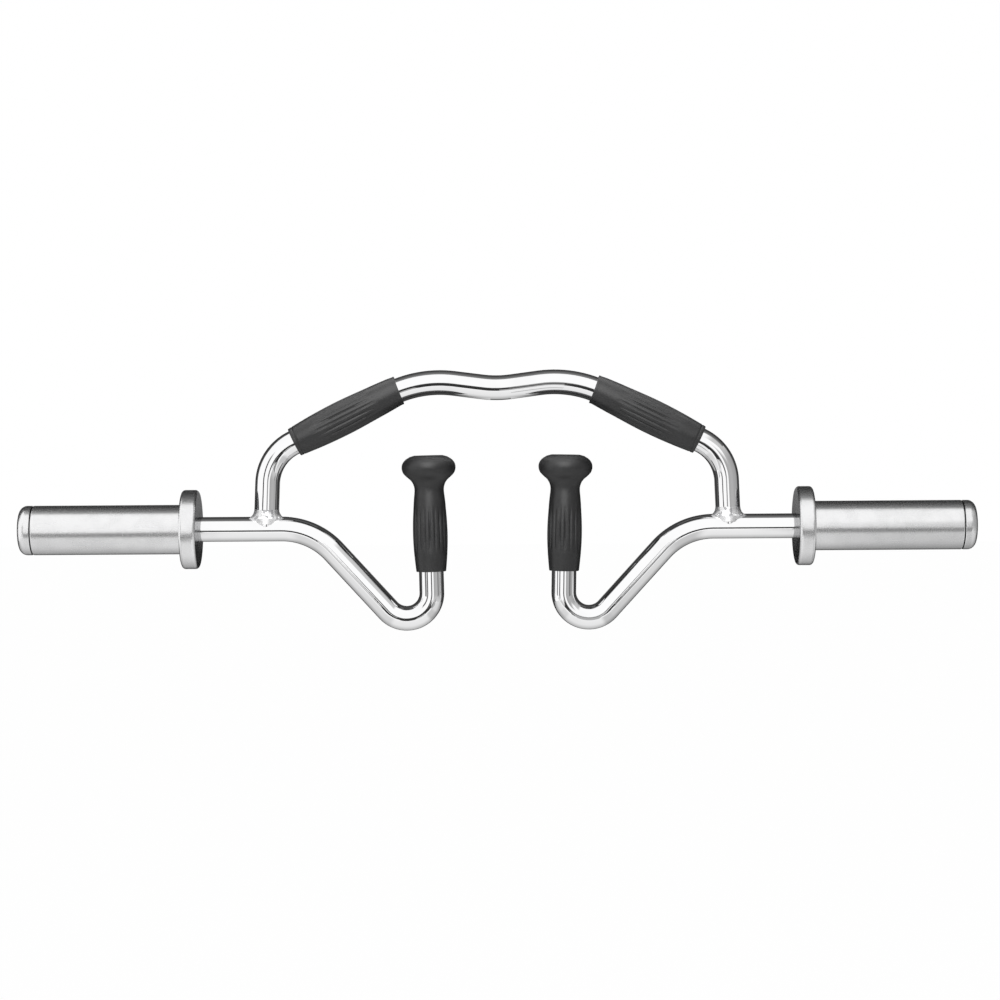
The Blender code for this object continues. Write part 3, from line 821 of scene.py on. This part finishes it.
class TRICEPS_OT_welds(bpy.types.Operator):
    """Lay the weld round each riser's foot"""

    bl_idname = "triceps_bar.welds"
    bl_label = "Welds"

    def execute(self, context):
        settings = context.scene.triceps_bar
        bars, welds = settings.bars, settings.welds
        foot = Vector((bars.riser_foot_x, 0, 0))
        riser = (Vector((bars.riser_corner_x, 0, bars.riser_corner_z)) - foot).normalized()
        piece = self.lay_bead(foot, riser / riser.z, self.bead_levels(bars, welds))
        face_outwards()
        self.raise_ripples(foot, welds)
        end_piece()
        self.roughen(piece, welds)
        past_both_ends = welds.reach * 30
        bore = bars.bar_radius - WELD_BITE
        cut_with_rod(piece, Vector(), Vector((1, 0, 0)), past_both_ends, bore)
        cut_with_rod(piece, foot + riser * welds.top, riser, welds.top * 2, bore)
        dress_pair(piece, "Weld chrome", FRAME_BODIES, "weld_bead")
        return {"FINISHED"}

    def bead_levels(self, bars, welds):
        """(height, half length, half depth) of the bead, from its top down to its toe."""
        neck = bars.bar_radius + WELD_EDGE
        flare = welds.reach - neck
        belly = bars.bar_radius * WELD_BELLY
        levels = []
        for part in shares(FLARE_STEPS):
            spread = 1 - math.sqrt(1 - part * part)
            levels.append((welds.top + (belly - welds.top) * part, neck + flare * spread))
        for part in shares(FOOT_STEPS)[1:]:
            narrowing = (welds.reach - welds.foot_reach) * math.sin(math.pi / 2 * part)
            levels.append((belly + (welds.low - belly) * part, welds.reach - narrowing))
        # In front and behind, the bead leans out evenly all the way down to a small round toe
        lean = (welds.face_radius - neck) / (welds.top - welds.low)
        levels = [(height, reach, neck + lean * (welds.top - height)) for height, reach in levels]
        for sine, cosine in quarter_turn(TOE_STEPS)[1:]:
            drop = welds.toe_radius * sine
            tuck = welds.toe_radius * (1 - cosine)
            levels.append((welds.low - drop, welds.foot_reach - tuck, welds.face_radius - tuck))
        return levels

    def lay_bead(self, foot, slope, levels):
        """Ovals round the riser, each extruded from the last. The slope is its way for a height of 1."""
        height, reach, depth = levels[0]
        at = foot + slope * height
        piece = start_piece("right_weld_fillet", WELD_SIDES, 1, at, Vector((0, 0, 1)), "NGON")
        bpy.ops.transform.resize(value=(reach, depth, 1), center_override=at)
        for lower, wider, deeper in levels[1:]:
            onward = foot + slope * lower
            extrude(onward - at)
            bpy.ops.transform.resize(value=(wider / reach, deeper / depth, 1), center_override=onward)
            at, reach, depth = onward, wider, deeper
        return piece

    def raise_ripples(self, foot, welds):
        """Stands the crest of each ripple a little proud of the bead's rough upper part."""
        for half_width, lift in RIPPLE_CRESTS:

            def on_crest(place):
                turn = math.atan2(place.y, place.x - foot.x) / math.tau * welds.ripples
                return place.z > welds.rough_from and abs(turn - round(turn)) < half_width

            select_points(on_crest)
            bpy.ops.transform.shrink_fatten(value=welds.ripple_height * lift)
        select_points(lambda place: place.z > welds.rough_from)
        bpy.ops.object.vertex_group_assign_new()

    def roughen(self, piece, welds):
        """Uneven lumps on the upper part, large ones and then small ones."""
        for size, lift in WELD_LUMPS:
            lumps = bpy.data.textures.new("Weld lumps", "CLOUDS")
            lumps.noise_scale = size
            swell = piece.modifiers.new("Lumps", "DISPLACE")
            swell.texture = lumps
            swell.vertex_group = piece.vertex_groups[0].name
            swell.mid_level = 0.5
            swell.strength = welds.lump_height * lift
            bpy.ops.object.modifier_apply(modifier=swell.name)


def soften_start(outline, rounding):
    """Takes the sharp edge off the start of an outline, and the points that are too near to it."""
    along, radius = outline[0]
    step = rounding if outline[1][0] > along else -rounding
    edge = [(along + step * part, radius - rounding * drop) for part, drop in ((0, 1), (0.3, 0.3), (1, 0))]
    return edge + [point for point in outline if abs(point[0] - along) > rounding * 1.5]


class TRICEPS_OT_hand_grips(bpy.types.Operator):
    """Mould the knobbed rubber grips on both stems"""

    bl_idname = "triceps_bar.hand_grips"
    bl_label = "Hand Grips"

    def execute(self, context):
        settings = context.scene.triceps_bar
        bars, grips = settings.bars, settings.grips
        foot, top = HAND_GRIP_OUTLINE[0][0], HAND_GRIP_OUTLINE[-1][0]
        low, high = stem_point(bars, foot), stem_point(bars, top)
        line = BentLine([low, high])
        outline = [(bars.stem_top + 2 * GAP, grips.bore_radius), (foot, grips.bore_radius)]
        outline += soften_start(smooth_outline(HAND_GRIP_OUTLINE, GRIP_STEP), grips.edge_rounding)
        slant = math.cos(bars.stem_lean)
        outline = [((height - foot) / slant, radius) for height, radius in outline]
        sides = grips.flutes * COLUMNS_PER_FLUTE
        piece = draw_along("right_fluted_hand_grip", line, outline, sides, closed=False)
        face_outwards()
        first = (grips.stem_flute_low - foot) / slant
        last = (grips.stem_flute_high - foot) / slant
        press_flutes(grips, low, (high - low).normalized(), first, last)
        end_piece()
        dress_pair(piece, "Grip rubber", FRAME_BODIES, "hand_grip")
        return {"FINISHED"}


class TRICEPS_OT_curl_grips(bpy.types.Operator):
    """Mould the swollen rubber grips on the sloped stretches"""

    bl_idname = "triceps_bar.curl_grips"
    bl_label = "Curl Grips"

    def execute(self, context):
        settings = context.scene.triceps_bar
        bars, grips = settings.bars, settings.grips
        line = cambered_line(bars)
        # After the riser and its bend comes the sloped stretch
        straight = line.runs[2]
        start = straight.begin + grips.curl_start
        reach = CURL_GRIP_OUTLINE[-1][0]
        outside = soften_start(smooth_outline(CURL_GRIP_OUTLINE, GRIP_STEP), grips.edge_rounding)
        outside = soften_start(outside[::-1], grips.edge_rounding)[::-1]
        outline = [(start + along, radius) for along, radius in outside]
        # The bore follows the bar, which starts to bend over the hump under the grip's upper end
        outline += [(start + reach * (1 - part), grips.bore_radius) for part in shares(BORE_STEPS)]
        piece = draw_along("right_fluted_curl_grip", line, outline, grips.flutes * COLUMNS_PER_FLUTE)
        face_outwards()
        first = grips.curl_start + grips.curl_flute_start
        last = grips.curl_start + grips.curl_flute_end
        press_flutes(grips, straight.point, straight.travel, first, last)
        end_piece()
        dress_pair(piece, "Grip rubber", FRAME_BODIES, "curl_grip")
        return {"FINISHED"}


def turn_pair(sleeves, name, outline, node, closed=True):
    """Turn a right-hand piece of the sleeve from its outline, and copy it to the left."""
    start = Vector((sleeves.face_x, 0, 0))
    line = BentLine([start, start + Vector((sleeves.cap_end, 0, 0))])
    piece = draw_along(name, line, outline, SLEEVE_SIDES, closed)
    end_piece()
    dress_pair(piece, "Satin chrome", SLEEVE_BODIES, node)


class TRICEPS_OT_collars(bpy.types.Operator):
    """Turn the flanges that stop the plates"""

    bl_idname = "triceps_bar.collars"
    bl_label = "Collars"

    def execute(self, context):
        settings = context.scene.triceps_bar
        sleeves = settings.sleeves
        bore = settings.bars.bar_radius + GAP
        seat = sleeves.tube_radius + GAP
        thickness = sleeves.collar_thickness
        outline = rounded([
            (0, bore, GAP),
            (0, sleeves.collar_radius, sleeves.collar_rounding),
            (thickness, sleeves.collar_radius, sleeves.collar_rounding),
            (thickness, seat, GAP),
            (sleeves.collar_web, seat, 0),
            (sleeves.collar_web, bore, 0),
        ])
        turn_pair(sleeves, "right_turned_collar", outline, "collar_flange")
        return {"FINISHED"}


class TRICEPS_OT_sleeve_tubes(bpy.types.Operator):
    """Turn the tubes that take the plates"""

    bl_idname = "triceps_bar.sleeve_tubes"
    bl_label = "Sleeve Tubes"

    def execute(self, context):
        sleeves = context.scene.triceps_bar.sleeves
        start, end = sleeves.tube_start, sleeves.cap_seam - GAP
        outline = rounded([
            (start, sleeves.tube_bore, 0),
            (start, sleeves.tube_radius, sleeves.tube_rounding),
            (end, sleeves.tube_radius, sleeves.tube_rounding),
            (end, sleeves.tube_bore, 0),
        ])
        turn_pair(sleeves, "right_brushed_sleeve", outline, "sleeve_tube")
        return {"FINISHED"}


class TRICEPS_OT_end_caps(bpy.types.Operator):
    """Turn the round-edged caps that close the sleeves"""

    bl_idname = "triceps_bar.end_caps"
    bl_label = "End Caps"

    def execute(self, context):
        sleeves = context.scene.triceps_bar.sleeves
        outline = self.inner_outline(sleeves) + self.outer_outline(sleeves)
        turn_pair(sleeves, "right_round_cap", outline, "end_cap", closed=False)
        return {"FINISHED"}

    def inner_outline(self, sleeves):
        """The hollow spigot and the foot of the groove."""
        spigot = sleeves.tube_bore - GAP
        groove = sleeves.tube_radius - sleeves.groove_depth
        return [
            (sleeves.cap_seam + GAP, sleeves.spigot_bore),
            (sleeves.spigot_start, sleeves.spigot_bore),
            (sleeves.spigot_start, spigot),
            (sleeves.cap_seam, spigot),
            (sleeves.cap_seam, groove),
            (sleeves.cap_seam + sleeves.groove_width, groove),
        ]

    def outer_outline(self, sleeves):
        """From the groove's rim over the round edge to the middle of the domed end."""
        rim = sleeves.cap_seam + sleeves.groove_width
        rounding = sleeves.cap_rounding
        flat = sleeves.tube_radius - rounding
        edge = sleeves.cap_end - sleeves.cap_dome - rounding
        outline = []
        for sine, cosine in quarter_turn(CORNER_STEPS):
            run = sleeves.tube_rounding * (1 - cosine)
            drop = sleeves.tube_rounding * (1 - sine)
            outline.append((rim + run, sleeves.tube_radius - drop))
        outline.append((rim + sleeves.tube_rounding + SUPPORT_GAP, sleeves.tube_radius))
        for sine, cosine in quarter_turn(CAP_STEPS):
            outline.append((edge + rounding * sine, flat + rounding * cosine))
        for part in shares(DOME_STEPS)[1:-1]:
            outline.append((sleeves.cap_end - sleeves.cap_dome * (1 - part) ** 2, flat * (1 - part)))
        return outline


class TRICEPS_OT_bearings(bpy.types.Operator):
    """Finish the bushings, washers and bolts inside the sleeves"""

    bl_idname = "triceps_bar.bearings"
    bl_label = "Bearings"

    def execute(self, context):
        inside = {
            "Bearing bronze": ("thrust_washer", "inner_bushing", "outer_bushing"),
            "Zinc plate": ("retaining_washer", "lock_washer", "retaining_bolt"),
        }
        for metal, nodes in inside.items():
            for node in nodes:
                for side in ("left", "right"):
                    frame["nodes"][f"{side}_{node}"].material_slots[0].material = finish(metal)
        return {"FINISHED"}


# Cards that only metal and rubber reflect. They shape the reflections, as flags do in a photo studio.
# A card's tone runs along its own X (axis 0) or Y (axis 1) from the first to the second. Towards the bar's
# left and right end it falls off by the shares in falls. It is uneven by folds, and over the share of the
# card in fade it runs out to the tones in ends, along the lower and the upper edge.
CARD_FIELDS = "name middle size turn tones axis falls folds fade ends"
Card = namedtuple("Card", CARD_FIELDS, defaults=(1, None, 0, 0, (1, 1)))
FLAT = (0, 0, 0)
UPRIGHT = (90, 0, 0)
SIDEWAYS = (90, 0, 90)
ALONG_DEPTH = (0, 0, 90)
TABLE_FALLS = (0.17, 0.32)
CARDS = (
    Card("table_front", (0, -0.7, -0.69), (3.6, 1.1), FLAT, (0.88, 0.80), falls=TABLE_FALLS),
    Card("table_middle", (0, 0.025, -0.69), (3.6, 0.35), FLAT, (0.80, 0.60), falls=TABLE_FALLS),
    Card("table_back", (0, 0.6, -0.69), (3.6, 0.8), FLAT, (0.58, 0.28), falls=TABLE_FALLS),
    Card("front_gap", (0, -2.35, -0.68), (1.4, 1.3), FLAT, (0.03, 0.03)),
    Card("left_front_gap", (-1.6, -2.1, -0.68), (1.8, 1.3), FLAT, (0.58, 0.58)),
    Card("right_front_gap", (1.6, -2.1, -0.68), (1.8, 1.3), FLAT, (0.26, 0.26)),
    Card("front_rail", (0, -3.0, -0.58), (1.4, 0.22), UPRIGHT, (0.04, 0.04)),
    Card("left_stand", (-0.085, -2.7, -0.39), (0.33, 0.6), UPRIGHT, (0.03, 0.03)),
    Card("right_stand", (0.165, -2.7, -0.27), (0.17, 0.36), UPRIGHT, (0.28, 0.28)),
    Card("stand_top", (0, -2.7, -0.03), (0.5, 0.12), UPRIGHT, (0.33, 0.33)),
    Card("left_mat", (-0.12, -1.64, -0.67), (0.3, 0.5), FLAT, (0.03, 0.03)),
    Card("right_mat", (0.15, -1.84, -0.67), (0.24, 0.9), FLAT, (0.40, 0.40)),
    Card("right_bend_card", (0.095, -0.2, -0.15), (0.09, 0.07), UPRIGHT, (0.42, 0.42)),
    Card("left_sleeve_line", (-0.444, -0.25, -0.098), (0.232, 0.095), UPRIGHT, (0.19, 0.19)),
    Card("right_sleeve_line", (0.444, -0.25, -0.093), (0.232, 0.095), UPRIGHT, (0.18, 0.18)),
    Card("back_gap", (0, 1.75, -0.68), (5.0, 1.5), FLAT, (0.06, 0.06)),
    Card("back_wall", (0, 1.0, 0.75), (3.5, 0.96), UPRIGHT, (0.04, 0.04)),
    Card("ceiling_back", (0, 0.665, 1.23), (3.5, 0.67), FLAT, (0.11, 0.05)),
    Card("ceiling_front", (0.475, 0.08, 1.23), (2.55, 0.5), FLAT, (0.24, 0.12)),
    Card(
        "ceiling_right", (1.325, -0.9, 1.23), (1.46, 0.85), ALONG_DEPTH, (0.62, 0.54),
        axis=0, fade=0.4, ends=(0.58, 1),
    ),
    Card("left_back_flag", (-1.01, 1.0, -0.21), (1.48, 0.96), UPRIGHT, (0.04, 0.04)),
    Card("right_back_flag", (1.01, 1.0, -0.21), (1.48, 0.96), UPRIGHT, (0.04, 0.04)),
    Card("left_side_flag", (-1.75, 0.65, 0.25), (0.7, 1.96), SIDEWAYS, (0.12, 0.05), axis=0),
    Card("right_side_flag", (1.75, 0.725, 0.25), (0.55, 1.96), SIDEWAYS, (0.08, 0.05), axis=0),
    Card(
        "right_panel", (1.75, -0.575, 0.265), (2.05, 1.93), SIDEWAYS, (0.45, 0.32),
        axis=0, folds=0.3, fade=0.3, ends=(0.58, 0.55),
    ),
    Card(
        "right_front_panel", (1.375, -2.25, 0.12), (1.5, 1.64), (90, 0, 60), (0.36, 0.45),
        axis=0, folds=0.4, fade=0.3, ends=(0.60, 1),
    ),
    Card("left_strip", (-1.45, -1.8, 0.15), (0.4, 1.6), (90, 0, -41), (0.05, 0.05), fade=0.2),
    Card("left_hump_flag", (-0.093, 0.034, 0.1), (0.09, 0.052), FLAT, (0.05, 0.05)),
    Card("left_hump_fade", (-0.028, 0.034, 0.1), (0.04, 0.052), FLAT, (0.05, 0.60), axis=0),
    Card("right_hump_fade", (0.033, 0.034, 0.1), (0.03, 0.052), FLAT, (0.60, 0.05), axis=0),
    Card("right_hump_flag", (0.093, 0.034, 0.1), (0.09, 0.052), FLAT, (0.05, 0.05)),
    Card("window_top", (0, 1.0, 0.115), (0.54, 0.31), UPRIGHT, (0.32, 0.32)),
    Card("window_bottom", (0, 1.0, -0.365), (0.54, 0.65), UPRIGHT, (0.0, 0.0)),
)
# Where a card's tone falls off towards the bar's ends, where it rises again beyond them, and by what share
FALL_START, FALL_END = 0.35, 0.48
RISE_START, RISE_END = 0.66, 0.86
RISE_SHARE = 0.5

FLOOR_SIZE = (30, 30)
FLOOR_PAINT = (0.86, 0.86, 0.86, 1)
WHITE = (1, 1, 1, 1)
SENSOR_WIDTH = 36
# Smooth chrome, which has its cards and needs no softbox
SMOOTH_CHROME = {"Mirror chrome", "Satin chrome"}


class TRICEPS_OT_stage(bpy.types.Operator):
    """Set up the floor, the white room, the lamps, the reflector cards and the camera"""

    bl_idname = "triceps_bar.stage"
    bl_label = "Stage"

    def execute(self, context):
        studio = context.scene.triceps_bar.studio
        self.add_floor(studio)
        for card in CARDS:
            self.add_card(card)
        self.light_room(context.scene, studio)
        lit = self.gather_lit()
        self.add_softbox("softbox", studio, lit)
        self.add_softbox("overhead", studio, lit)
        self.add_camera(context.scene, studio)
        context.scene.view_settings.view_transform = "Standard"
        return {"FINISHED"}

    def add_plane(self, name, middle, size, turn):
        bpy.ops.object.select_all(action="DESELECT")
        rotation = Euler([math.radians(part) for part in turn])
        bpy.ops.mesh.primitive_plane_add(size=1, location=middle, rotation=rotation)
        plane = bpy.context.object
        plane.name = name
        plane.scale = (*size, 1)
        return plane

    def add_floor(self, studio):
        """Pale floor that the picture takes as plain white, and that keeps a faint shadow."""
        floor = self.add_plane("studio_floor", (0, 0, studio.floor_z), FLOOR_SIZE, FLAT)
        made, sheet = new_material("Studio floor")
        paint = sheet.add("BsdfDiffuse", inputs={"Color": FLOOR_PAINT})
        white = sheet.add("Emission", inputs={"Color": WHITE, "Strength": 1.0})
        mixed = sheet.add("MixShader", inputs={0: sheet.seen() * studio.floor_glow, 1: paint, 2: white})
        sheet.add("OutputMaterial", inputs={"Surface": mixed})
        floor.data.materials.append(made)

    def add_card(self, card):
        plane = self.add_plane(f"card_{card.name}", card.middle, card.size, card.turn)
        made, sheet = new_material(f"Card {card.name}")
        light = sheet.add("Emission", inputs={"Color": self.card_tone(sheet, card), "Strength": 1.0})
        sheet.add("OutputMaterial", inputs={"Surface": light})
        plane.data.materials.append(made)
        for ray in ("camera", "diffuse", "transmission", "volume_scatter", "shadow"):
            setattr(plane, f"visible_{ray}", False)

    def card_tone(self, sheet, card):
        """How bright the card is over its face, whose own places run from -0.5 to 0.5 both ways."""
        place = sheet.place()
        parts = sheet.parts(place)
        first, last = card.tones
        tone = (parts[card.axis] + 0.5) * (last - first) + first
        if card.falls:
            side = parts[0] * card.size[0]
            left = side.ramp(-FALL_START, -FALL_END) - side.ramp(-RISE_START, -RISE_END) * RISE_SHARE
            right = side.ramp(FALL_START, FALL_END) - side.ramp(RISE_START, RISE_END) * RISE_SHARE
            tone = tone * (1 - left * card.falls[0] - right * card.falls[1])
        if card.folds:
            creases = sheet.noise(place, 11, 1, (1, 0, 0)) - 0.5
            tone = tone * (creases * card.folds * 2 + 1)
        if card.fade:
            low = parts[1].ramp(card.fade - 0.5, -0.5)
            high = parts[1].ramp(0.5 - card.fade, 0.5)
            tone = tone * (1 - low - high) + low * card.ends[0] + high * card.ends[1]
        return tone

    def light_room(self, scene, studio):
        """Even light, and plain white wherever the camera or metal looks at the room."""
        world = bpy.data.worlds.new("White room")
        world.use_nodes = True
        scene.world = world
        sheet = NodeSheet(world.node_tree)
        strength = sheet.seen() * (1 - studio.room_light) + studio.room_light
        room = sheet.add("Background", inputs={"Color": WHITE, "Strength": strength})
        sheet.add("OutputWorld", inputs={"Surface": room})

    def gather_lit(self):
        """What the softboxes light: all but the smooth chrome and the cards."""
        lit = bpy.data.collections.new("Lit by the softboxes")
        for piece in bpy.data.objects:
            if piece.type == "MESH" and not piece.name.startswith("card_"):
                finishes = {slot.material.name for slot in piece.material_slots if slot.material}
                if not finishes & SMOOTH_CHROME:
                    lit.objects.link(piece)
        return lit

    def add_softbox(self, name, studio, lit):
        """Large even lamp that faces the bar."""
        place, width, reach, brightness = (
            getattr(studio, f"{name}_{setting}") for setting in ("place", "width", "reach", "glow")
        )
        bpy.ops.object.light_add(type="AREA", location=place)
        lamp = bpy.context.object
        lamp.name = name
        lamp.rotation_euler = (-Vector(place)).to_track_quat("-Z", "Y").to_euler()
        lamp.data.shape = "RECTANGLE"
        lamp.data.size = width
        lamp.data.size_y = reach
        # The power at which its face looks that bright
        lamp.data.energy = brightness * math.pi * width * reach
        lamp.light_linking.receiver_collection = lit

    def add_camera(self, scene, studio):
        aim = Vector((studio.camera_x, 0, studio.camera_z))
        pitch = studio.camera_pitch
        looking = Vector((0, math.cos(pitch), -math.sin(pitch)))
        bpy.ops.object.camera_add(location=aim - looking * studio.camera_distance)
        camera = bpy.context.object
        tilt = Quaternion((1, 0, 0), math.pi / 2 - pitch)
        roll = Quaternion((0, 0, 1), -studio.camera_roll)
        camera.rotation_mode = "QUATERNION"
        camera.rotation_quaternion = tilt @ roll
        camera.data.sensor_width = SENSOR_WIDTH
        camera.data.lens = SENSOR_WIDTH * studio.camera_distance / studio.picture_width
        scene.camera = camera


class TRICEPS_PT_panel(bpy.types.Panel):
    """Lists the steps, and the sizes and colours that they use."""

    bl_idname = "TRICEPS_PT_panel"
    bl_label = "Triceps Bar"
    bl_space_type = "VIEW_3D"
    bl_region_type = "UI"
    bl_category = "Triceps Bar"

    def draw(self, context):
        for step in STEPS:
            self.layout.operator(step.bl_idname)
        settings = context.scene.triceps_bar
        for group_name in settings.__annotations__:
            group = getattr(settings, group_name)
            box = self.layout.box()
            for name in group.__annotations__:
                box.prop(group, name)


STEPS = (
    TRICEPS_OT_cambered_bar,
    TRICEPS_OT_handle_bars,
    TRICEPS_OT_welds,
    TRICEPS_OT_hand_grips,
    TRICEPS_OT_curl_grips,
    TRICEPS_OT_collars,
    TRICEPS_OT_sleeve_tubes,
    TRICEPS_OT_end_caps,
    TRICEPS_OT_bearings,
    TRICEPS_OT_stage,
)
CLASSES = (
    BarSizes, GripSizes, SleeveSizes, WeldSizes, FinishSettings, StudioSettings, TricepsBarSettings,
    *STEPS, TRICEPS_PT_panel,
)


def register():
    for made in CLASSES:
        bpy.utils.register_class(made)
    bpy.types.Scene.triceps_bar = PointerProperty(type=TricepsBarSettings)


def unregister():
    del bpy.types.Scene.triceps_bar
    for made in reversed(CLASSES):
        bpy.utils.unregister_class(made)


def main():
    register()
    bpy.ops.triceps_bar.cambered_bar()
    bpy.ops.triceps_bar.handle_bars()
    bpy.ops.triceps_bar.welds()
    bpy.ops.triceps_bar.hand_grips()
    bpy.ops.triceps_bar.curl_grips()
    bpy.ops.triceps_bar.collars()
    bpy.ops.triceps_bar.sleeve_tubes()
    bpy.ops.triceps_bar.end_caps()
    bpy.ops.triceps_bar.bearings()
    bpy.ops.triceps_bar.stage()


if __name__ == "__main__":
    main()
